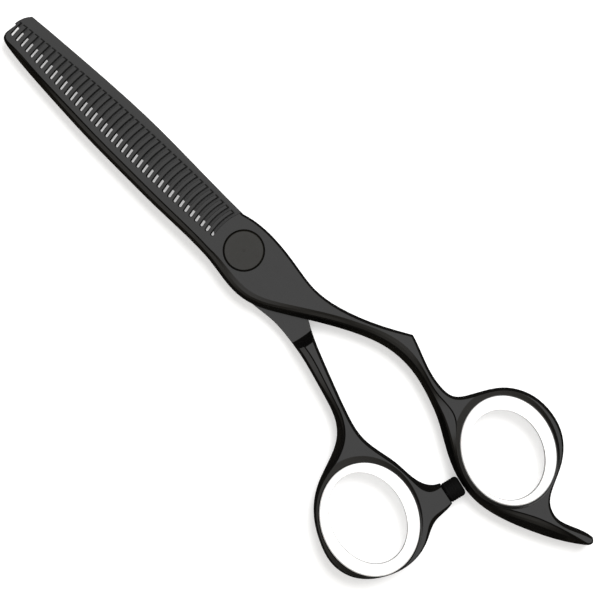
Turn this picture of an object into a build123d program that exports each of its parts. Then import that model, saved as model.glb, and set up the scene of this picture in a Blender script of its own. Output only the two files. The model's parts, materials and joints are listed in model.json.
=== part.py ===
"""Thinning shears: two forged halves on a ball-bearing pivot, with finger inserts and a bumper.

Units are millimetres. The pivot axis is Z. The shears lie on their back, on the plane z = 0,
with the toothed half on top, and the tips point along +X. The thumb ring is on the +Y side.
"""

from build123d import *
from math import asin, atan2, cos, degrees, hypot, sin, sqrt
import os

# ---------------------------------------------------------------- heights
RIDE_Z = 3.7  # the plane where the two blades slide on each other
HALF_T = 3.0  # thickness of each half at the pivot
FRONT_Z = RIDE_Z + HALF_T  # front face of the toothed half
BACK_Z = RIDE_Z - HALF_T  # back face of the solid half
HANDLE_LOW_Z = 1.0  # back and front faces of the full-thickness handles
HANDLE_TOP_Z = 6.4
RIDE_GAP = 0.02  # gap between each half and the ride plane
TIP_T = 1.5  # thickness of each blade at its tip
EDGE_LAND = 0.35  # flat height of the cutting edge
LOW_SHARE = 0.5  # the backs of the handles have narrower flanks
BACK_FLANK_DEPTH = 1.2
HANDLE_FOOT_DROP = 2.1  # foot of a flank, below the flat that it edges
BLADE_FOOT_DROP = 1.45
UPPER_DROPS = (0.75, 0.5, 0.25, 0.0)  # the flank's higher levels, below the same flat
STEEP_SHARE = 0.64  # part of a flank's width that is steep, where its outline doesn't say
BREAK_SHARE = 0.75  # part of the steep width that lies below the flank's second level
CREASE = 0.27  # width of the crease between a flank and the flat, where its outline doesn't say
CREASE_SHARE = 0.15  # narrow flanks have a narrower one
CROWN_DEPTH = 0.18  # height of the bevel along the back of the solid blade
MAIN_SHARE = 0.64  # width of that bevel, as part of the flank's
FOOT_LEVEL = 0
FLAT_LEVEL = len(UPPER_DROPS)

# ---------------------------------------------------------------- blades
HEEL_X = 5.5  # where the blades start
TIP_X = 69.05
TEETH = 40
TOOTH_PITCH = 1.545
FIRST_SLOT_X = 7.5
SLOT_WIDTH = 0.5  # at the ride plane
SLOT_TAPER = 3.5  # degrees by which each side of a slot leans open
SLOT_CURVE_R = (13.0, 26.0)  # the slots bow towards the tips, less at the last slot
SLOT_BOW_Y = -0.3  # height of the bow's middle
SLOT_END_Y = -6.2  # the slots run out past the tips of the teeth
SLOT_ROOT_Y = (2.45, 3.12, 1.65)  # root height at the first, the middle and the last slot

# ---------------------------------------------------------------- step and rings
STEP_R = 22.2  # radius about the pivot where the handles reach their full thickness
STEP_RUN = 2.2  # width of the sloping step
FINGER_CENTRE = (-70.13, -8.79)
FINGER_AXES = (12.0, 9.97)  # half axes of the finger insert's flange
FINGER_TURN = 155.4
THUMB_CENTRE = (-59.19, 22.4)
THUMB_AXES = (12.35, 10.5)
THUMB_TURN = 154.5
FLANGE_LIP = 0.6  # how far the insert's flange overlaps the metal ring
FIT_GAP = 0.03  # gap between an insert and its ring
RABBET_DEPTH = 0.8  # depth of the seat that takes the insert's flange
RIM_FLANK = 1.05  # mean width of the flank round the inside of each ring
RIM_SHIFT = 0.6  # how much wider that flank is towards the shank
RIM_STEEP = 0.2  # width of its steep part
RIM_DEPTH = 0.65
RIM_BREAK_DEPTH = 0.42  # depth where the steep part starts
SEAT_LOW_Z = HANDLE_LOW_Z + RIM_DEPTH + RABBET_DEPTH
SEAT_HIGH_Z = HANDLE_TOP_Z - RIM_DEPTH - RABBET_DEPTH
CUT_MARGIN = 0.3  # how far a cut runs past the surface that it starts from

# ---------------------------------------------------------------- inserts
INSERT_TOP_Z = 6.2
FINGER_HOLE = ((-70.4, -7.75), (9.8, 8.1), 155.4)  # centre, half axes and turn of the opening
THUMB_HOLE = ((-58.7, 22.4), (10.15, 7.85), 162.0)
INSERT_ROUND = 0.25  # bevel round the outside of each insert
HOLE_WALL_R = 13.0  # radius of the wall's curve, seen in section
HOLE_LIP_Z = 4.9  # height where the opening is narrowest
HOLE_WALL_STEPS = 8  # facets that make up this curve
GROOVE_MARGIN = 1.0  # how far the cutter of an insert's groove runs past its outside

# ---------------------------------------------------------------- pivot
HEAD_R = 4.3  # flat head of the post
HEAD_POCKET_R = 4.33
HEAD_BEVEL = 0.2  # width of the bevels on the head and on its pocket
HEAD_BEVEL_DEPTH = 0.26
HEAD_T = 1.3
COLLAR_R = 3.0  # keyed part of the post, behind the head
COLLAR_FLAT = 4.8  # width across its two flats
POST_R = 2.4
POST_BORE_R = 1.5
POST_BORE_IN_HEAD = 0.2  # how far the post's bore runs into its head
POST_END_Z = 1.3
RUNNING_GAP = 0.03
RACE_R = 4.3
RACE_T = 0.35
BALL_D = 1.19
BALL_SPACE = 1.2  # gap between the two races
BALL_COUNT = 10
BALL_CIRCLE_R = 3.38
CAGE_T = 0.5
SEAL_R = 4.86
BEARING_POCKET_R = 4.9
BEARING_HALF = BALL_SPACE / 2 + RACE_T  # height of the bearing on each side of the ride plane
SCREW_R = 4.4  # flange of the tension screw
SCREW_POCKET_R = 4.6
SCREW_FLANGE_T = 1.25
STUB_R = 1.45
STUB_END_Z = 5.0
KEY_HOLE_R = 0.6
KEY_HOLE_SPACING = 5.0
KEY_HOLE_DEPTH = 0.9
SPRING_T = 0.25
SPRING_H = 0.4
BUSH_R = 3.0
BUSH_FLANGE_R = 4.3
BUSH_FLANGE_T = 0.3
BUSH_FLANGE_Z = SCREW_FLANGE_T + SPRING_H  # back of the bushing's flange
WEB_Z = BUSH_FLANGE_Z + BUSH_FLANGE_T  # back of the solid half's web
LOCK_GROOVE_R = 1.15
LOCK_Z = (3.6, 4.3)
EDGE_BREAK = 0.12  # small bevel on turned metal edges
DIMPLE_R = 0.35
DIMPLE_DEPTH = 0.06

# ---------------------------------------------------------------- bumper
BOSS_LEFT = (-69.5, 7.6)  # the two ends of the boss's flat face
BOSS_RIGHT = (-64.8, 6.4)
BUMPER_R = 2.3
BUMPER_BASE_R = 2.08  # radius where the rubber meets the boss
BUMPER_BASE_RISE = 0.35  # length of the cone from there to the full radius
BUMPER_LENGTH = 3.76
BUMPER_ROUND = 0.9  # rounding of its flat nose
GROOVES = 4  # shallow round grooves that leave ribs between them
GROOVE_R = 0.1
GROOVE_PITCH = 0.55
FIRST_GROOVE = 0.7  # distance of the first groove from the boss
STUD_R = 0.8
STUD_DEPTH = 2.6  # length in the boss
STUD_REACH = 2.2  # length in the rubber

# Outlines run anticlockwise seen from the front. Each point is x, y and the flank's width there,
# and some points add the width of the flank's steep part and of its crease.
TOOTHED_UPPER = [
    (HEEL_X, 6.45, 1.7, 0.7, 0.3), (0.0, 7.2, 2.1, 0.7, 0.7), (-4.0, 7.65, 2.2, 0.7, 0.9),
    (-8.0, 7.25, 2.2, 0.8, 0.9), (-15.0, 4.05, 2.2, 1.0, 0.7), (-25.0, -1.8, 2.4, 1.3, 0.5),
    (-30.0, -4.3, 2.4, 1.3, 0.6), (-35.0, -6.15, 2.6, 1.3, 0.7), (-40.0, -6.9, 2.6, 1.3, 0.7),
    (-45.0, -6.5, 2.1, 1.2, 0.4), (-50.0, -5.1, 2.1, 1.2, 0.3), (-55.0, -3.05, 3.6, 1.5, 0.3),
    (-60.0, -0.15, 2.5, 1.6), (-65.0, 2.3, 1.7, 1.1), (-72.0, 3.75, 1.5, 1.1),
    (-80.05, 2.3, 2.7, 1.8), (-85.1, 0.35, 3.3, 2.3), (-90.05, -2.0, 2.9, 2.1),
    (-96.2, -5.95, 0.7),
]
TANG_END = [(-96.2, -5.95, 0.7), (-96.9, -7.2, 0.6), (-96.0, -8.15, 0.5)]
TOOTHED_RING = [
    (-96.0, -8.15, 0.5), (-93.0, -7.35, 0.7), (-87.5, -5.75, 0.65), (-84.7, -6.8, 0.6),
    (-82.2, -10.6, 0.5), (-80.15, -15.0, 0.5), (-76.05, -19.3, 0.6), (-70.0, -21.2, 0.65),
    (-65.0, -20.7, 0.65), (-60.0, -17.6, 0.6), (-56.05, -11.55, 0.55), (-54.0, -9.1, 0.55),
    (-50.0, -8.55, 0.6), (-45.05, -9.75, 0.6), (-38.35, -12.3, 0.6),
]
TOOTHED_LOWER = [
    (-38.35, -12.3, 0.6), (-30.9, -8.4, 0.6), (-24.95, -6.1, 0.6), (-16.5, -4.65, 0.5),
    (-10.0, -5.55, 0.5), (-3.0, -6.4, 0.5), (HEEL_X, -5.5, 0.5),
]
TOOTHED_HEEL = [(HEEL_X, -5.5, 0.5), (6.5, -5.4, 0.4)]
TEETH_LINE = [
    (6.85, -4.4, 0.3), (15.0, -4.5, 0.3), (30.0, -4.3, 0.3), (45.0, -3.75, 0.3),
    (57.0, -2.85, 0.3), (68.5, -1.75, 0.3),
]
TOOTHED_SPINE = [
    (TIP_X, 1.85, 0.4), (68.5, 3.35, 0.6), (66.5, 4.05, 0.95, 0.5, 0.3), (60.0, 4.85, 1.4, 0.8, 0.3),
    (50.0, 5.6, 1.65, 0.7, 0.3), (40.0, 6.15, 1.75, 0.7), (30.0, 6.35, 1.8, 0.7),
    (20.0, 6.45, 1.8, 0.7), (11.0, 6.3, 1.7, 0.7), (HEEL_X, 6.45, 1.7, 0.7, 0.3),
]
SOLID_UPPER = [
    (HEEL_X, 4.4, 0.5), (3.4, 6.0, 0.6), (0.0, 6.65, 0.7), (-4.0, 7.0, 0.7), (-10.0, 6.85, 0.9),
    (-15.0, 6.4, 1.1), (-20.0, 6.8, 1.6, 0.6), (-25.0, 7.7, 1.9, 0.6), (-30.0, 9.1, 1.8, 0.6),
    (-35.0, 10.6, 1.6, 0.8), (-39.0, 12.2, 1.7, 1.0), (-42.0, 14.7, 1.8, 1.2),
    (-44.05, 18.7, 1.6, 1.1), (-46.3, 25.0, 0.9), (-50.0, 30.0, 0.7), (-55.0, 33.25, 0.6),
    (-60.0, 34.8, 0.55), (-65.1, 33.85, 0.5), (-70.2, 28.75, 0.4), (-72.2, 22.5, 0.35),
    (-71.3, 17.1, 0.55), (-69.6, 12.95, 1.0), (-69.65, 8.6, 0.6), (BOSS_LEFT[0], BOSS_LEFT[1], 0.4),
]
SOLID_LOWER = [
    (BOSS_RIGHT[0], BOSS_RIGHT[1], 0.6), (-62.65, 8.7, 1.3), (-60.0, 9.5, 0.7),
    (-55.0, 9.8, 0.6), (-50.0, 10.65, 0.6), (-46.0, 10.95, 0.6), (-40.05, 9.5, 0.6),
    (-30.05, 5.6, 0.6), (-20.0, 0.85, 0.55), (-14.0, -3.2, 0.5), (-8.0, -5.3, 0.5),
    (0.0, -5.75, 0.5), (HEEL_X, -5.5, 0.5),
]
SOLID_SPINE = [
    (HEEL_X, -5.5, 1.9), (20.0, -5.8, 1.9), (33.0, -6.05, 1.9), (45.0, -5.7, 1.8),
    (57.0, -5.0, 1.5), (63.0, -4.6, 1.2), (67.4, -4.25, 0.9),
]
SOLID_TIP = [(67.4, -4.25, 0.9), (68.3, -3.05, 0.6), (68.8, -1.9, 0.3), (69.05, -0.6, 0.2)]
CUTTING_EDGE = [
    (69.05, -0.6, 0.6), (60.0, 0.1, 1.6), (45.0, 0.8, 2.4), (30.0, 1.22, 2.6),
    (18.0, 1.28, 2.6), (9.0, 1.32, 2.4),
]
SOLID_HEEL = [(9.0, 1.32, 2.4), (7.3, 1.75, 1.6), (6.2, 3.0, 0.6), (HEEL_X, 4.4, 0.4)]


# The boss's flat end: its normal points at the finger ring, and local X runs along the face.
BOSS_RUN = (BOSS_RIGHT[0] - BOSS_LEFT[0], BOSS_RIGHT[1] - BOSS_LEFT[1])
BOSS_PLANE = Plane(
    origin=((BOSS_LEFT[0] + BOSS_RIGHT[0]) / 2, (BOSS_LEFT[1] + BOSS_RIGHT[1]) / 2, RIDE_Z),
    x_dir=(BOSS_RUN[0], BOSS_RUN[1], 0),
    z_dir=(BOSS_RUN[1], -BOSS_RUN[0], 0),
)


def level_inset(width, steep=None, crease=None):
    """How far in from the outline each level of a flank is, from its foot to the flat."""
    steep = steep or STEEP_SHARE * width
    crease = crease or min(CREASE, CREASE_SHARE * width)
    return (0, BREAK_SHARE * steep, steep, width - crease, width)


def inset_chain(chain, level, share, keep_x):
    """Moves each point of an open chain to its left by share times its inset at a level.

    A chain's first and last points slide along Y alone where keep_x holds their x.
    """
    moved = []
    last = len(chain) - 1
    for index, (x, y, *widths) in enumerate(chain):
        before = chain[max(index - 1, 0)]
        after = chain[min(index + 1, last)]
        run, rise = after[0] - before[0], after[1] - before[1]
        length = hypot(run, rise)
        left = (-rise / length, run / length)
        if x in keep_x and index in (0, last):
            left = (0.0, 1.0 if run > 0 else -1.0)
        inset = share * level_inset(*widths)[level]
        moved.append((x + left[0] * inset, y + left[1] * inset))
    return moved


def joined(first, second):
    """Makes the end of one chain and the start of the next meet halfway."""
    corner = ((first[-1][0] + second[0][0]) / 2, (first[-1][1] + second[0][1]) / 2)
    first[-1] = corner
    second[0] = corner


def slope_plane(height, tip_height):
    """A plane through z = height at the heel and z = tip_height at the tip."""
    angle = atan2(height - tip_height, TIP_X - HEEL_X)
    return Plane(
        origin=(HEEL_X, 0, height),
        x_dir=(cos(angle), 0, -sin(angle)),
        z_dir=(sin(angle), 0, cos(angle)),
    )


def outline(plane, chains, level, share=1):
    """A face on a plane, bounded by one curve for each chain, moved in to a level of its flank.

    Chains that share an end point meet in a corner, and a straight line closes any other gap.
    """
    followers = chains[1:] + chains[:1]
    meets = [chain[-1][:2] == after[0][:2] for chain, after in zip(chains, followers)]
    lines = [inset_chain(chain, level, share, (HEEL_X,)) for chain in chains]
    for index, line in enumerate(lines):
        if meets[index]:
            joined(line, lines[(index + 1) % len(lines)])
    with BuildSketch(plane) as face:
        with BuildLine():
            for index, line in enumerate(lines):
                local = [(x - plane.origin.X, y) for x, y in line]
                Spline(*local) if len(local) > 2 else Line(*local)
                if not meets[index]:
                    x, y = lines[(index + 1) % len(lines)][0]
                    Line(local[-1], (x - plane.origin.X, y))
        make_face()
    return face.sketch


def flank_layers(chains, high_z):
    """The outlines of a handle's front flank, from its foot up to the flat at high_z."""
    return [
        outline(Plane.XY.offset(high_z - drop), chains, level)
        for level, drop in enumerate((HANDLE_FOOT_DROP, *UPPER_DROPS))
    ]


def handle_layers(chains, low_z, high_z):
    """The outlines of a handle, from its low face to its high face."""
    back = [
        outline(Plane.XY.offset(low_z), chains, FLAT_LEVEL, LOW_SHARE),
        outline(Plane.XY.offset(low_z + BACK_FLANK_DEPTH), chains, FOOT_LEVEL),
    ]
    return back + flank_layers(chains, high_z)


def ring_cut(centre, axes, turn, low_z, high_z, grow):
    """An oval prism, grown all round by grow."""
    with BuildPart() as cutter:
        with BuildSketch(Plane.XY.offset(low_z)):
            with Locations(centre):
                Ellipse(axes[0] + grow, axes[1] + grow, rotation=turn)
        extrude(amount=high_z - low_z)
    return cutter.part


def rim_flare(centre, axes, turn, face_z, outward):
    """The sloping mouth of a ring, wider on the side towards the shank.

    face_z is the ring's face, and outward is 1 on its front and -1 on its back.
    """
    ovals = []
    for depth, grow, shift in (
        (RIM_DEPTH, 0, 0),
        (RIM_BREAK_DEPTH, RIM_STEEP, 0),
        (0, RIM_FLANK, RIM_SHIFT),
        (-CUT_MARGIN, RIM_FLANK, RIM_SHIFT),
    ):
        with BuildSketch(Plane.XY.offset(face_z - outward * depth)) as oval:
            with Locations((centre[0] + shift, centre[1])):
                Ellipse(axes[0] + grow, axes[1] + grow, rotation=turn)
        ovals.append(oval.sketch)
    with BuildPart() as cutter:
        loft(ovals, ruled=True)
    return cutter.part


def turned(profile, plane=Plane.XZ):
    """A solid of revolution about Z from (radius, height) points."""
    with BuildPart() as solid:
        with BuildSketch(plane):
            with BuildLine():
                Polyline(*profile, close=True)
            make_face()
        revolve(axis=Axis.Z)
    return solid.part


def ring_openings(centre, axes, turn, back_z, front_z):
    """Everything cut from a ring: its bore, the two flange seats and the two flared mouths."""
    grown = (axes[0] + FIT_GAP, axes[1] + FIT_GAP)
    return [
        ring_cut(centre, axes, turn, BACK_Z - HALF_T, FRONT_Z + HALF_T, -FLANGE_LIP),
        ring_cut(centre, grown, turn, BACK_Z - HALF_T, SEAT_LOW_Z, 0),
        ring_cut(centre, grown, turn, SEAT_HIGH_Z, FRONT_Z + HALF_T, 0),
        rim_flare(centre, grown, turn, front_z, 1),
        rim_flare(centre, grown, turn, back_z, -1),
    ]


def keyed_hole(radius, flats, low_z, high_z):
    """A round prism with two flats, which keeps the post from turning in the toothed half."""
    with BuildPart() as key:
        with BuildSketch(Plane.XY.offset(low_z)):
            Circle(radius)
            Rectangle(2 * radius, flats, mode=Mode.INTERSECT)
        extrude(amount=high_z - low_z)
    return key.part


def slot_root_y(index):
    """The height of a slot's root: a parabola through the three driving heights."""
    heel, middle, tip = SLOT_ROOT_Y
    along = 2 * index / (TEETH - 1) - 1
    return middle + (tip - heel) / 2 * along + ((tip + heel) / 2 - middle) * along**2


def insert_ring(centre, axes, turn, hole):
    """A soft ring that snaps into a metal ring, with a flange in the seat on each side."""
    hole_centre, hole_axes, hole_turn = hole
    with BuildPart() as ring:
        levels = [
            (0, -INSERT_ROUND),
            (INSERT_ROUND, 0),
            (INSERT_TOP_Z - INSERT_ROUND, 0),
            (INSERT_TOP_Z, -INSERT_ROUND),
        ]
        ovals = []
        for height, grow in levels:
            with BuildSketch(Plane.XY.offset(height)) as oval:
                with Locations(centre):
                    Ellipse(axes[0] + grow, axes[1] + grow, rotation=turn)
            ovals.append(oval.sketch)
        loft(ovals, ruled=True)
        groove = ring_cut(centre, axes, turn, SEAT_LOW_Z - FIT_GAP, SEAT_HIGH_Z + FIT_GAP,
                          GROOVE_MARGIN)
        core = ring_cut(centre, axes, turn, 0, INSERT_TOP_Z, -FLANGE_LIP - FIT_GAP)
        add(groove - core, mode=Mode.SUBTRACT)
        wall = []
        for step in range(HOLE_WALL_STEPS + 1):
            height = INSERT_TOP_Z * step / HOLE_WALL_STEPS
            grow = HOLE_WALL_R - sqrt(HOLE_WALL_R**2 - (height - HOLE_LIP_Z) ** 2)
            with BuildSketch(Plane.XY.offset(height)) as oval:
                with Locations(hole_centre):
                    Ellipse(hole_axes[0] + grow, hole_axes[1] + grow, rotation=hole_turn)
            wall.append(oval.sketch)
        loft(wall, ruled=True, mode=Mode.SUBTRACT)
    return ring


os.makedirs("parts", exist_ok=True)

# ---------------------------------------------------------------- toothed half
TOOTHED_HANDLE = [TOOTHED_UPPER, TANG_END, TOOTHED_RING, TOOTHED_LOWER]
TOOTHED_BLADE = [TOOTHED_HEEL, TEETH_LINE, TOOTHED_SPINE]
TOOTHED_BASE_Z = RIDE_Z + RIDE_GAP
TIP_FRONT_Z = RIDE_Z + TIP_T

with BuildPart() as toothed_blade_half:
    loft(handle_layers(TOOTHED_HANDLE, HANDLE_LOW_Z, FRONT_Z), ruled=True)
    # The blade's front face slopes down to the tip, with the flank of its spine along it.
    blade = [outline(Plane.XY.offset(TOOTHED_BASE_Z), TOOTHED_BLADE, FOOT_LEVEL)]
    for level, drop in enumerate((BLADE_FOOT_DROP, *UPPER_DROPS)):
        sloping = slope_plane(FRONT_Z - drop, TIP_FRONT_Z - drop)
        blade.append(outline(sloping, TOOTHED_BLADE, level))
    loft(blade, ruled=True)
    # Behind the ride face, the handle reaches its full thickness at a sloping round step.
    step = turned([
        (0, TOOTHED_BASE_Z), (STEP_R, TOOTHED_BASE_Z),
        (STEP_R + STEP_RUN, HANDLE_LOW_Z), (STEP_R + STEP_RUN, BACK_Z), (0, BACK_Z),
    ])
    add(step, mode=Mode.SUBTRACT)
    for opening in ring_openings(
        FINGER_CENTRE, FINGER_AXES, FINGER_TURN, HANDLE_LOW_Z, FRONT_Z
    ):
        add(opening, mode=Mode.SUBTRACT)
    # The gaps between the teeth: narrow bowed slots with round roots.
    with BuildSketch(Plane.XY.offset(RIDE_Z)):
        for index in range(TEETH):
            share = index / (TEETH - 1)
            bow_r = SLOT_CURVE_R[0] * (1 - share) + SLOT_CURVE_R[1] * share
            root_y = slot_root_y(index) - SLOT_WIDTH / 2
            high = degrees(asin((root_y - SLOT_BOW_Y) / bow_r))
            low = degrees(asin((SLOT_END_Y - SLOT_BOW_Y) / bow_r))
            bow_centre = (FIRST_SLOT_X + index * TOOTH_PITCH - bow_r, SLOT_BOW_Y)
            bow = CenterArc(bow_centre, bow_r, low, high - low, mode=Mode.PRIVATE)
            SlotArc(bow, SLOT_WIDTH)
    extrude(amount=HALF_T + CUT_MARGIN, taper=-SLOT_TAPER, mode=Mode.SUBTRACT)
    # The pivot: bearing pocket, keyed hole and the pocket for the flush head.
    with BuildSketch(Plane.XY.offset(RIDE_Z)):
        Circle(BEARING_POCKET_R)
    extrude(amount=BEARING_HALF, mode=Mode.SUBTRACT)
    add(keyed_hole(COLLAR_R + FIT_GAP, COLLAR_FLAT + 2 * FIT_GAP, RIDE_Z, FRONT_Z),
        mode=Mode.SUBTRACT)
    head_pocket = turned([
        (0, FRONT_Z - HEAD_T), (HEAD_POCKET_R, FRONT_Z - HEAD_T),
        (HEAD_POCKET_R, FRONT_Z - HEAD_BEVEL_DEPTH), (HEAD_POCKET_R + HEAD_BEVEL, FRONT_Z),
        (HEAD_POCKET_R + HEAD_BEVEL, FRONT_Z + CUT_MARGIN), (0, FRONT_Z + CUT_MARGIN),
    ])
    add(head_pocket, mode=Mode.SUBTRACT)
toothed_blade_half.part.label = "toothed_blade_half"
export_step(toothed_blade_half.part, "parts/toothed_blade_half.step")

# ---------------------------------------------------------------- solid half
SOLID_HANDLE = [SOLID_UPPER, SOLID_LOWER]
SOLID_BLADE = [SOLID_SPINE, SOLID_TIP, CUTTING_EDGE, SOLID_HEEL]
SOLID_FACE_Z = RIDE_Z - RIDE_GAP
TIP_BACK_Z = RIDE_Z - TIP_T

with BuildPart() as solid_blade_half:
    # The handle's back face is flush with the blade's, and its front face stands over the ride.
    loft(handle_layers(SOLID_HANDLE, BACK_Z, HANDLE_TOP_Z), ruled=True)
    # The blade's back slopes to the tip, and its cutting edge is ground to a thin land.
    blade = []
    for rise, share in ((0, 1), (CROWN_DEPTH, MAIN_SHARE)):
        sloping = slope_plane(BACK_Z + rise, TIP_BACK_Z + rise)
        blade.append(outline(sloping, SOLID_BLADE, FLAT_LEVEL, share))
    for height in (SOLID_FACE_Z - EDGE_LAND, SOLID_FACE_Z):
        blade.append(outline(Plane.XY.offset(height), SOLID_BLADE, FOOT_LEVEL))
    loft(blade, ruled=True)
    step = turned([
        (0, SOLID_FACE_Z), (STEP_R, SOLID_FACE_Z),
        (STEP_R + STEP_RUN, HANDLE_TOP_Z), (STEP_R + STEP_RUN, FRONT_Z), (0, FRONT_Z),
    ])
    add(step, mode=Mode.SUBTRACT)
    for opening in ring_openings(THUMB_CENTRE, THUMB_AXES, THUMB_TURN, BACK_Z, HANDLE_TOP_Z):
        add(opening, mode=Mode.SUBTRACT)
    with BuildSketch(Plane.XY.offset(RIDE_Z)):
        Circle(BEARING_POCKET_R)
    extrude(amount=-BEARING_HALF, mode=Mode.SUBTRACT)
    with BuildSketch(Plane.XY.offset(RIDE_Z)):
        Circle(BUSH_R)
    extrude(amount=-HALF_T - CUT_MARGIN, mode=Mode.SUBTRACT)
    with BuildSketch(Plane.XY.offset(WEB_Z)):
        Circle(SCREW_POCKET_R)
    extrude(amount=-HALF_T, mode=Mode.SUBTRACT)
    # The blind hole for the bumper's stud, in the flat end of the boss.
    with BuildSketch(BOSS_PLANE):
        Circle(STUD_R + FIT_GAP)
    extrude(amount=-STUD_DEPTH, mode=Mode.SUBTRACT)
solid_blade_half.part.label = "solid_blade_half"
export_step(solid_blade_half.part, "parts/solid_blade_half.step")

# ---------------------------------------------------------------- inserts
finger_insert = insert_ring(FINGER_CENTRE, FINGER_AXES, FINGER_TURN, FINGER_HOLE)
finger_insert.part.label = "finger_insert"
export_step(finger_insert.part, "parts/finger_insert.step")

thumb_insert = insert_ring(THUMB_CENTRE, THUMB_AXES, THUMB_TURN, THUMB_HOLE)
thumb_insert.part.label = "thumb_insert"
export_step(thumb_insert.part, "parts/thumb_insert.step")


# ---------------------------------------------------------------- post and tension screw
POST_BORE_TOP = FRONT_Z - HEAD_T + POST_BORE_IN_HEAD

with BuildPart() as pivot_post:
    add(turned([
        (POST_BORE_R, POST_END_Z), (POST_R, POST_END_Z),
        (POST_R, RIDE_Z + BEARING_HALF), (POST_R, FRONT_Z - HEAD_T),
        (HEAD_R, FRONT_Z - HEAD_T), (HEAD_R, FRONT_Z - HEAD_BEVEL_DEPTH),
        (HEAD_R - HEAD_BEVEL, FRONT_Z), (DIMPLE_R, FRONT_Z), (0, FRONT_Z - DIMPLE_DEPTH),
        (0, POST_BORE_TOP), (POST_BORE_R, POST_BORE_TOP),
    ]))
    collar = keyed_hole(COLLAR_R, COLLAR_FLAT, RIDE_Z + BEARING_HALF, FRONT_Z - HEAD_T)
    bore = keyed_hole(POST_BORE_R, 2 * POST_BORE_R, RIDE_Z, FRONT_Z - HEAD_T)
    add(collar - bore)
pivot_post.part.label = "pivot_post"
export_step(pivot_post.part, "parts/pivot_post.step")

with BuildPart() as tension_screw:
    add(turned([
        (0, 0), (SCREW_R - EDGE_BREAK, 0), (SCREW_R, EDGE_BREAK),
        (SCREW_R, SCREW_FLANGE_T - EDGE_BREAK), (SCREW_R - EDGE_BREAK, SCREW_FLANGE_T),
        (STUB_R, SCREW_FLANGE_T), (STUB_R, LOCK_Z[0]), (LOCK_GROOVE_R, LOCK_Z[0]),
        (LOCK_GROOVE_R, LOCK_Z[1]), (STUB_R, LOCK_Z[1]), (STUB_R, STUB_END_Z - EDGE_BREAK),
        (STUB_R - EDGE_BREAK, STUB_END_Z), (0, STUB_END_Z),
    ]))
    with BuildSketch(Plane.XY):
        with GridLocations(KEY_HOLE_SPACING, 0, 2, 1):
            Circle(KEY_HOLE_R)
    extrude(amount=KEY_HOLE_DEPTH, mode=Mode.SUBTRACT)
tension_screw.part.label = "tension_screw"
export_step(tension_screw.part, "parts/tension_screw.step")

with BuildPart() as thread_lock_ring:
    add(turned([
        (LOCK_GROOVE_R, LOCK_Z[0]), (STUB_R + RUNNING_GAP, LOCK_Z[0]),
        (STUB_R + RUNNING_GAP, LOCK_Z[1]), (LOCK_GROOVE_R, LOCK_Z[1]),
    ]))
thread_lock_ring.part.label = "thread_lock_ring"
export_step(thread_lock_ring.part, "parts/thread_lock_ring.step")

with BuildPart() as disc_spring:
    inner_r = POST_R + 3 * RUNNING_GAP
    add(turned([
        (inner_r, SCREW_FLANGE_T), (inner_r, SCREW_FLANGE_T + SPRING_T),
        (BUSH_FLANGE_R, BUSH_FLANGE_Z), (BUSH_FLANGE_R, BUSH_FLANGE_Z - SPRING_T),
    ]))
disc_spring.part.label = "disc_spring"
export_step(disc_spring.part, "parts/disc_spring.step")

# ---------------------------------------------------------------- bushing and thrust bearing
with BuildPart() as pivot_bushing:
    bush_inner_r = POST_R + RUNNING_GAP
    add(turned([
        (bush_inner_r, BUSH_FLANGE_Z), (BUSH_FLANGE_R, BUSH_FLANGE_Z), (BUSH_FLANGE_R, WEB_Z),
        (BUSH_R, WEB_Z), (BUSH_R, RIDE_Z - BEARING_HALF), (bush_inner_r, RIDE_Z - BEARING_HALF),
    ]))
pivot_bushing.part.label = "pivot_bushing"
export_step(pivot_bushing.part, "parts/pivot_bushing.step")


def race(low_z):
    """A flat hardened washer of the thrust bearing."""
    with BuildPart() as washer:
        with BuildSketch(Plane.XY.offset(low_z)):
            Circle(RACE_R)
            Circle(POST_R + RUNNING_GAP, mode=Mode.SUBTRACT)
        extrude(amount=RACE_T)
    return washer


upper_race = race(RIDE_Z + BALL_SPACE / 2)
upper_race.part.label = "upper_race"
export_step(upper_race.part, "parts/upper_race.step")

lower_race = race(RIDE_Z - BEARING_HALF)
lower_race.part.label = "lower_race"
export_step(lower_race.part, "parts/lower_race.step")

with BuildPart() as bearing_cage:
    with BuildSketch(Plane.XY.offset(RIDE_Z - CAGE_T / 2)):
        Circle(RACE_R)
        Circle(POST_R + 3 * RUNNING_GAP, mode=Mode.SUBTRACT)
        with PolarLocations(BALL_CIRCLE_R, BALL_COUNT):
            Circle(BALL_D / 2 + RUNNING_GAP, mode=Mode.SUBTRACT)
    extrude(amount=CAGE_T)
bearing_cage.part.label = "bearing_cage"
export_step(bearing_cage.part, "parts/bearing_cage.step")

with BuildPart() as bearing_balls:
    with Locations((0, 0, RIDE_Z)):
        with PolarLocations(BALL_CIRCLE_R, BALL_COUNT):
            Sphere(BALL_D / 2)
bearing_balls.part.label = "bearing_balls"
export_step(bearing_balls.part, "parts/bearing_balls.step")

with BuildPart() as dust_seal:
    with BuildSketch(Plane.XY.offset(RIDE_Z - BEARING_HALF + FIT_GAP)):
        Circle(SEAL_R)
        Circle(RACE_R + FIT_GAP, mode=Mode.SUBTRACT)
    extrude(amount=2 * (BEARING_HALF - FIT_GAP))
dust_seal.part.label = "dust_seal"
export_step(dust_seal.part, "parts/dust_seal.step")

# ---------------------------------------------------------------- bumper
BUMPER_PLANE = Plane(
    origin=BOSS_PLANE.origin, x_dir=BOSS_PLANE.x_dir, z_dir=(0, 0, 1)
)  # local Y points back into the boss
BUMPER_AXIS = Axis(BOSS_PLANE.origin, BOSS_PLANE.z_dir)

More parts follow.
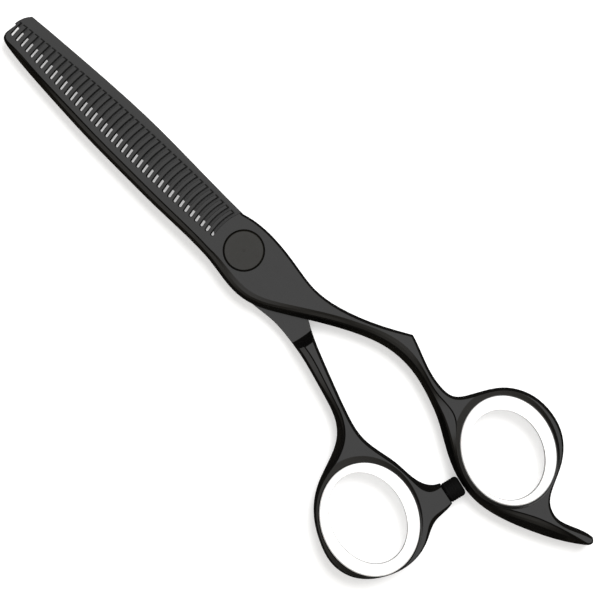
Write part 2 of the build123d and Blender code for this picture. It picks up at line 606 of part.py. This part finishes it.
with BuildPart() as bumper:
    with BuildSketch(BUMPER_PLANE):
        with BuildLine():
            Polyline(
                (BUMPER_R - BUMPER_ROUND, -BUMPER_LENGTH), (0, -BUMPER_LENGTH), (0, -STUD_REACH),
                (STUD_R + FIT_GAP, -STUD_REACH), (STUD_R + FIT_GAP, 0), (BUMPER_BASE_R, 0),
                (BUMPER_R, -BUMPER_BASE_RISE), (BUMPER_R, BUMPER_ROUND - BUMPER_LENGTH),
            )
            nose_centre = (BUMPER_R - BUMPER_ROUND, BUMPER_ROUND - BUMPER_LENGTH)
            CenterArc(nose_centre, BUMPER_ROUND, 0, -90)
        make_face()
    revolve(axis=BUMPER_AXIS)
    for index in range(GROOVES):
        with BuildSketch(BUMPER_PLANE):
            with Locations((BUMPER_R, -FIRST_GROOVE - index * GROOVE_PITCH)):
                Circle(GROOVE_R)
        revolve(axis=BUMPER_AXIS, mode=Mode.SUBTRACT)
bumper.part.label = "bumper"
export_step(bumper.part, "parts/bumper.step")

with BuildPart() as bumper_stud:
    with BuildSketch(BOSS_PLANE.offset(-STUD_DEPTH + FIT_GAP)):
        Circle(STUD_R)
    extrude(amount=STUD_DEPTH + STUD_REACH - 2 * FIT_GAP)
bumper_stud.part.label = "bumper_stud"
export_step(bumper_stud.part, "parts/bumper_stud.step")
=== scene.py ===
"""Thinning shears: procedural looks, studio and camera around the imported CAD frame.

Everything is in metres in the CAD's frame: the pivot axis is Z, the tips point along +X and the
thumb ring is on the +Y side. The shears lie on the plane z = 0.
"""

import json
import math

import bpy
from mathutils import Matrix, Vector

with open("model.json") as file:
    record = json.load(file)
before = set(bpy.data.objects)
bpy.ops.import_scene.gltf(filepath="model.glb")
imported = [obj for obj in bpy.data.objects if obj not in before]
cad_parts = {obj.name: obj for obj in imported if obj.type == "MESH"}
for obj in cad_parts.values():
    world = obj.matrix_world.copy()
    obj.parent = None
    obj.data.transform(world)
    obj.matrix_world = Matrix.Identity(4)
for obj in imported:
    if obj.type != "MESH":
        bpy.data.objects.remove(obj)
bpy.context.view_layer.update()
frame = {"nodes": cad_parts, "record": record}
nodes = frame["nodes"]

MM = 0.001
PER_MM = 1000.0  # turns metres into millimetres in a mapping node
VIEW_ROLL = math.radians(44.25)  # angle between the blades and the picture's horizontal
VIEW_CENTRE = Vector((-15.9 * MM, -0.8 * MM, 6.5 * MM))
VIEW_FIELD = 127.7 * MM  # width of the picture at the height of the view's centre
VIEW_DISTANCE = 0.6
SENSOR = 36.0
CLIP_NEAR = 0.01
CLIP_FAR = 10.0
FLOOR_HALF = 3.0
FLOOR_DROP = 0.1 * MM  # keeps the floor clear of the faces that rest on it
FLOOR_GREY = 0.6
FLOOR_GLOW = 0.47  # the floor's own light, which keeps it pale away from the shears

SKY_STRENGTH = 1.5
# height from straight down (0) to straight up (1), and the sky's colour there
SKY_DOWN = (0.01, 0.01, 0.01, 1)
SKY_UP = (1, 1, 1, 1)
SKY_BETWEEN = (
    (0.25, (0.02, 0.018, 0.015, 1)),
    (0.36, (0.07, 0.06, 0.045, 1)),
    (0.47, (0.02, 0.018, 0.015, 1)),
    (0.65, (0.03, 0.027, 0.023, 1)),
    (0.8, (0.16, 0.145, 0.12, 1)),
    (0.91, (0.5, 0.48, 0.44, 1)),
    (0.97, (0.95, 0.95, 0.95, 1)),
)
KEY_PLACE = (0.04, -0.42, 0.66)
KEY_SIZE = 0.5
KEY_POWER = 9.0

MIX_COLOURS = (6, 7)  # numbers of a mix node's two colour inputs
MIX_RESULT = 2  # and of its colour output
EDGE_SAMPLES = 6
EDGE_FULL = 0.86  # cosine between the true and the rounded normal where an edge counts fully
EDGE_NONE = 0.995  # and where it doesn't count
WALL_FULL = 0.2  # height of the normal below which a surface is all wall
WALL_NONE = 0.9  # and above which it is level


# ------------------------------------------------------------------ camera, floor and light
def make_camera():
    """Looks straight down, rolled so that the tips point to the picture's upper left."""
    data = bpy.data.cameras.new("camera")
    data.sensor_width = SENSOR
    data.lens = SENSOR * VIEW_DISTANCE / VIEW_FIELD
    data.clip_start = CLIP_NEAR
    data.clip_end = CLIP_FAR
    camera = bpy.data.objects.new("camera", data)
    right = Vector((-math.cos(VIEW_ROLL), -math.sin(VIEW_ROLL), 0))
    up = Vector((math.sin(VIEW_ROLL), -math.cos(VIEW_ROLL), 0))
    back = right.cross(up)
    turn = Matrix((right, up, back)).transposed().to_4x4()
    camera.matrix_world = Matrix.Translation(VIEW_CENTRE + back * VIEW_DISTANCE) @ turn
    bpy.context.scene.collection.objects.link(camera)
    bpy.context.scene.camera = camera


def make_floor():
    """A wide pale sheet under the shears, which shiny surfaces don't mirror."""
    half = FLOOR_HALF
    mesh = bpy.data.meshes.new("floor")
    mesh.from_pydata(
        [(-half, -half, 0), (half, -half, 0), (half, half, 0), (-half, half, 0)], [], [(0, 1, 2, 3)]
    )
    floor = bpy.data.objects.new("floor", mesh)
    bpy.context.scene.collection.objects.link(floor)
    floor.location.z = -FLOOR_DROP
    floor.visible_glossy = False
    material = bpy.data.materials.new("floor_white")
    material.use_nodes = True
    shader = material.node_tree.nodes["Principled BSDF"]
    shader.inputs["Base Color"].default_value = (FLOOR_GREY, FLOOR_GREY, FLOOR_GREY, 1)
    shader.inputs["Roughness"].default_value = 1.0
    shader.inputs["Specular IOR Level"].default_value = 0.0
    shader.inputs["Emission Color"].default_value = (1, 1, 1, 1)
    shader.inputs["Emission Strength"].default_value = FLOOR_GLOW
    mesh.materials.append(material)


def add_area(name, place, size, power):
    """A soft square light that points at the pivot and isn't mirrored."""
    data = bpy.data.lights.new(name, "AREA")
    data.shape = "SQUARE"
    data.size = size
    data.energy = power
    lamp = bpy.data.objects.new(name, data)
    lamp.location = place
    lamp.rotation_euler = (-Vector(place)).to_track_quat("-Z", "Y").to_euler()
    lamp.visible_glossy = False
    bpy.context.scene.collection.objects.link(lamp)


def make_sky():
    """A surround that is bright overhead, like a large soft box, and dark at the horizon."""
    world = bpy.data.worlds.new("studio")
    world.use_nodes = True
    tree = world.node_tree
    place = tree.nodes.new("ShaderNodeTexCoord")
    split = tree.nodes.new("ShaderNodeSeparateXYZ")
    ramp = tree.nodes.new("ShaderNodeValToRGB")
    stops = ramp.color_ramp.elements
    stops[0].position = 0.0
    stops[0].color = SKY_DOWN
    stops[1].position = 1.0
    stops[1].color = SKY_UP
    for position, colour in SKY_BETWEEN:
        stops.new(position).color = colour
    tree.links.new(place.outputs["Generated"], split.inputs["Vector"])
    height = tree.nodes.new("ShaderNodeMapRange")
    height.inputs["From Min"].default_value = -1.0
    tree.links.new(split.outputs["Z"], height.inputs["Value"])
    tree.links.new(height.outputs["Result"], ramp.inputs["Fac"])
    background = tree.nodes["Background"]
    tree.links.new(ramp.outputs["Color"], background.inputs["Color"])
    background.inputs["Strength"].default_value = SKY_STRENGTH
    bpy.context.scene.world = world


make_camera()
make_floor()
make_sky()
add_area("key", KEY_PLACE, KEY_SIZE, KEY_POWER)
bpy.context.scene.view_settings.view_transform = "Standard"


# ------------------------------------------------------------------ material helpers
class Look:
    """A Principled material, with short calls that add its nodes. Texture scales are per mm."""

    def __init__(self, name, roughness, metallic=0.0, specular=0.5):
        self.material = bpy.data.materials.new(name)
        self.material.use_nodes = True
        self.tree = self.material.node_tree
        self.shader = self.tree.nodes["Principled BSDF"]
        self.shader.inputs["Roughness"].default_value = roughness
        self.shader.inputs["Metallic"].default_value = metallic
        self.shader.inputs["Specular IOR Level"].default_value = specular
        self.place = self.tree.nodes.new("ShaderNodeTexCoord")
        self.bevel = None

    def link(self, output, target):
        self.tree.links.new(output, target)

    def stretched(self, scale=(1, 1, 1)):
        """Object coordinates in millimetres, times scale."""
        mapping = self.tree.nodes.new("ShaderNodeMapping")
        mapping.inputs["Scale"].default_value = [PER_MM * factor for factor in scale]
        self.link(self.place.outputs["Object"], mapping.inputs["Vector"])
        return mapping.outputs["Vector"]

    def noise(self, scale, detail=3.0, vector=None, roughness=0.5):
        texture = self.tree.nodes.new("ShaderNodeTexNoise")
        texture.inputs["Scale"].default_value = scale
        texture.inputs["Detail"].default_value = detail
        texture.inputs["Roughness"].default_value = roughness
        self.link(vector or self.stretched(), texture.inputs["Vector"])
        return texture.outputs["Fac"]

    def rings(self, scale, distortion=0.4):
        """Turning marks: fine rings round Z."""
        texture = self.tree.nodes.new("ShaderNodeTexWave")
        texture.wave_type = "RINGS"
        texture.rings_direction = "Z"
        texture.inputs["Scale"].default_value = scale
        texture.inputs["Distortion"].default_value = distortion
        texture.inputs["Detail"].default_value = 2.0
        self.link(self.stretched(), texture.inputs["Vector"])
        return texture.outputs["Fac"]

    def span(self, value, low, high, from_low=0.3, from_high=0.7):
        """Carries value from one range to another, clamped."""
        change = self.tree.nodes.new("ShaderNodeMapRange")
        change.inputs["From Min"].default_value = from_low
        change.inputs["From Max"].default_value = from_high
        change.inputs["To Min"].default_value = low
        change.inputs["To Max"].default_value = high
        self.link(value, change.inputs["Value"])
        return change.outputs["Result"]

    def combine(self, operation, first, second):
        """A maths node on two values, either of which may be a plain number."""
        maths = self.tree.nodes.new("ShaderNodeMath")
        maths.operation = operation
        for socket, value in zip(maths.inputs, (first, second)):
            if isinstance(value, (int, float)):
                socket.default_value = value
            else:
                self.link(value, socket)
        return maths.outputs["Value"]

    def blend(self, factor, first, second):
        """A colour between first and second, which are colours or sockets."""
        mix = self.tree.nodes.new("ShaderNodeMix")
        mix.data_type = "RGBA"
        self.link(factor, mix.inputs["Factor"])
        for number, value in zip(MIX_COLOURS, (first, second)):
            socket = mix.inputs[number]
            if isinstance(value, tuple):
                socket.default_value = (*value, 1)
            else:
                self.link(value, socket)
        return mix.outputs[MIX_RESULT]

    def edges(self, radius):
        """Where the surface turns sharply: 0 on flats and up to 1 on an edge. Keeps the rounded normal."""
        bevel = self.tree.nodes.new("ShaderNodeBevel")
        bevel.samples = EDGE_SAMPLES
        bevel.inputs["Radius"].default_value = radius
        geometry = self.tree.nodes.new("ShaderNodeNewGeometry")
        match = self.tree.nodes.new("ShaderNodeVectorMath")
        match.operation = "DOT_PRODUCT"
        self.link(bevel.outputs["Normal"], match.inputs[0])
        self.link(geometry.outputs["Normal"], match.inputs[1])
        self.bevel = bevel
        return self.span(match.outputs["Value"], 1.0, 0.0, EDGE_FULL, EDGE_NONE)

    def rounded(self):
        """The normal that edges() rounded."""
        return self.bevel.outputs["Normal"]

    def walls(self):
        """Where the surface stands upright: 0 on level faces and 1 on walls."""
        geometry = self.tree.nodes.new("ShaderNodeNewGeometry")
        split = self.tree.nodes.new("ShaderNodeSeparateXYZ")
        self.link(geometry.outputs["Normal"], split.inputs["Vector"])
        upright = self.combine("ABSOLUTE", split.outputs["Z"], 0.0)
        return self.span(upright, 1.0, 0.0, WALL_FULL, WALL_NONE)

    def bump(self, height, distance, strength=1.0, normal=None):
        """Adds one layer of relief, over an earlier layer's normal where given."""
        relief = self.tree.nodes.new("ShaderNodeBump")
        relief.inputs["Distance"].default_value = distance
        relief.inputs["Strength"].default_value = strength
        self.link(height, relief.inputs["Height"])
        if normal is not None:
            self.link(normal, relief.inputs["Normal"])
        return relief.outputs["Normal"]

    def finish(self, colour=None, roughness=None, normal=None):
        """Links the three results to the shader and gives the material."""
        for name, value in (("Base Color", colour), ("Roughness", roughness), ("Normal", normal)):
            if value is not None:
                self.link(value, self.shader.inputs[name])
        return self.material


# ------------------------------------------------------------------ materials
def coated_steel():
    """Black hard coating on polished steel: faint grain along the shears, thinner on edges."""
    dark = (0.0014, 0.0014, 0.0015)
    light = (0.0028, 0.0027, 0.0025)
    fleck = (0.007, 0.0066, 0.0062)
    worn = (0.014, 0.013, 0.0115)
    look = Look("coated_steel", roughness=0.22)
    cloud = look.noise(0.22, detail=4.0)
    grain = look.noise(6.0, detail=4.0, vector=look.stretched((0.05, 1, 1)), roughness=0.7)
    speck = look.noise(9.0, detail=2.0)
    edge = look.edges(0.08 * MM)
    patches = look.span(look.noise(0.9, detail=5.0), 0.15, 1.0, 0.42, 0.7)
    wear = look.combine("MULTIPLY", edge, patches)
    base = look.blend(cloud, dark, light)
    base = look.blend(look.span(speck, 0.0, 0.5, 0.62, 0.72), base, fleck)
    colour = look.blend(wear, base, worn)
    rough = look.combine("ADD", look.span(cloud, 0.19, 0.25), look.span(grain, -0.04, 0.05))
    rough = look.combine("SUBTRACT", rough, look.combine("MULTIPLY", wear, 0.08))
    normal = look.bump(grain, 0.0035 * MM, normal=look.rounded())
    normal = look.bump(look.noise(2.2, detail=3.0), 0.005 * MM, normal=normal)
    return look.finish(colour, rough, normal)


def coated_screw():
    """The same coating over fine turning marks, a little warmer."""
    dark = (0.0035, 0.0032, 0.0022)
    light = (0.0065, 0.006, 0.0045)
    turned = (0.01, 0.009, 0.007)
    worn = (0.014, 0.013, 0.0115)
    look = Look("coated_screw", roughness=0.34, specular=0.46)
    marks = look.rings(3.2)
    cloud = look.noise(0.5, detail=3.0)
    edge = look.edges(0.1 * MM)
    base = look.blend(cloud, dark, light)
    base = look.blend(look.span(marks, 0.0, 0.35), base, turned)
    colour = look.blend(look.combine("MULTIPLY", edge, 0.5), base, worn)
    rough = look.combine("ADD", look.span(marks, 0.3, 0.38), look.span(cloud, -0.03, 0.03))
    normal = look.bump(marks, 0.004 * MM, normal=look.rounded())
    normal = look.bump(look.noise(7.0, detail=2.0), 0.003 * MM, normal=normal)
    return look.finish(colour, rough, normal)


def white_silicone():
    """Soft white silicone with a fine moulded texture; its walls and edges are painted grey as shade."""
    clean = (0.95, 0.95, 0.95)
    cloudy = (0.90, 0.90, 0.895)
    dusty = (0.86, 0.855, 0.84)
    # painted shade: grey colours for the walls and the edges, standing in for the shade they lie in
    wall_painted_shade = (0.56, 0.56, 0.56)
    edge_painted_shade = (0.4, 0.4, 0.4)
    look = Look("white_silicone", roughness=0.42)
    look.shader.inputs["Subsurface Weight"].default_value = 0.15
    look.shader.inputs["Subsurface Radius"].default_value = (1.2 * MM, 1.0 * MM, 0.9 * MM)
    cloud = look.noise(0.3, detail=3.0)
    fine = look.noise(11.0, detail=3.0, roughness=0.6)
    dust = look.span(look.noise(1.6, detail=5.0), 0.0, 0.5, 0.6, 0.78)
    base = look.blend(cloud, cloudy, clean)
    colour = look.blend(dust, base, dusty)
    # painted shade: upright walls turn grey as if they were in shade
    colour = look.blend(look.walls(), colour, wall_painted_shade)
    # painted shade: a grey line painted along every edge, such as the rims of the openings
    colour = look.blend(look.edges(0.35 * MM), colour, edge_painted_shade)
    rough = look.combine("ADD", look.span(cloud, 0.38, 0.5), look.span(fine, -0.04, 0.04))
    normal = look.bump(fine, 0.006 * MM, normal=look.rounded())
    normal = look.bump(look.noise(0.8, detail=2.0), 0.02 * MM, normal=normal)
    return look.finish(colour, rough, normal)


def black_rubber():
    """Dull black rubber with a patchy bloom and a fine grain, a little paler where it is rubbed."""
    dark = (0.0012, 0.0012, 0.0012)
    bloomed = (0.003, 0.003, 0.0032)
    rubbed = (0.01, 0.01, 0.0105)
    look = Look("black_rubber", roughness=0.75, specular=0.12)
    grain = look.noise(8.0, detail=4.0, roughness=0.7)
    bloom = look.noise(1.1, detail=4.0)
    edge = look.edges(0.15 * MM)
    base = look.blend(bloom, dark, bloomed)
    colour = look.blend(look.combine("MULTIPLY", edge, grain), base, rubbed)
    rough = look.combine("ADD", look.span(bloom, 0.68, 0.85), look.span(grain, -0.05, 0.05))
    normal = look.bump(grain, 0.02 * MM, normal=look.rounded())
    return look.finish(colour, rough, normal)


def bright_steel():
    """Ground bearing steel with turning marks and a light film of oil."""
    oiled = (0.56, 0.565, 0.575)
    clean = (0.66, 0.66, 0.655)
    turned = (0.5, 0.5, 0.5)
    look = Look("bright_steel", roughness=0.22, metallic=1.0)
    marks = look.rings(5.0, distortion=0.2)
    film = look.noise(0.8, detail=4.0)
    base = look.blend(film, oiled, clean)
    colour = look.blend(look.span(marks, 0.0, 0.3), base, turned)
    rough = look.combine("ADD", look.span(film, 0.16, 0.3), look.span(marks, -0.03, 0.04))
    return look.finish(colour, rough, look.bump(marks, 0.004 * MM))


def brass():
    """Turned brass, a little tarnished in patches."""
    clean = (0.78, 0.58, 0.27)
    tarnished = (0.58, 0.42, 0.2)
    look = Look("brass", roughness=0.3, metallic=1.0)
    marks = look.rings(4.0, distortion=0.3)
    tarnish = look.noise(0.7, detail=5.0)
    base = look.blend(look.span(tarnish, 0.0, 1.0), clean, tarnished)
    rough = look.combine("ADD", look.span(tarnish, 0.24, 0.42), look.span(marks, -0.03, 0.03))
    return look.finish(base, rough, look.bump(marks, 0.005 * MM))


def nylon():
    """Natural nylon, milky, with faint flow marks."""
    dull = (0.70, 0.68, 0.62)
    milky = (0.80, 0.79, 0.75)
    look = Look("nylon", roughness=0.45)
    flow = look.noise(1.5, detail=4.0, vector=look.stretched((1, 1, 0.3)))
    fine = look.noise(12.0, detail=2.0)
    base = look.blend(flow, dull, milky)
    rough = look.combine("ADD", look.span(flow, 0.4, 0.52), look.span(fine, -0.03, 0.03))
    return look.finish(base, rough, look.bump(fine, 0.005 * MM))


MAKERS = {
    "coated_steel": coated_steel,
    "coated_screw": coated_screw,
    "white_silicone": white_silicone,
    "black_rubber": black_rubber,
    "bright_steel": bright_steel,
    "brass": brass,
    "nylon": nylon,
}
slot_material = {slot: maker() for slot, maker in MAKERS.items()}
for entry in frame["record"]["subparts"]:
    mesh = nodes[entry["node"]].data
    mesh.materials.clear()
    mesh.materials.append(slot_material[entry["material_slot"]])
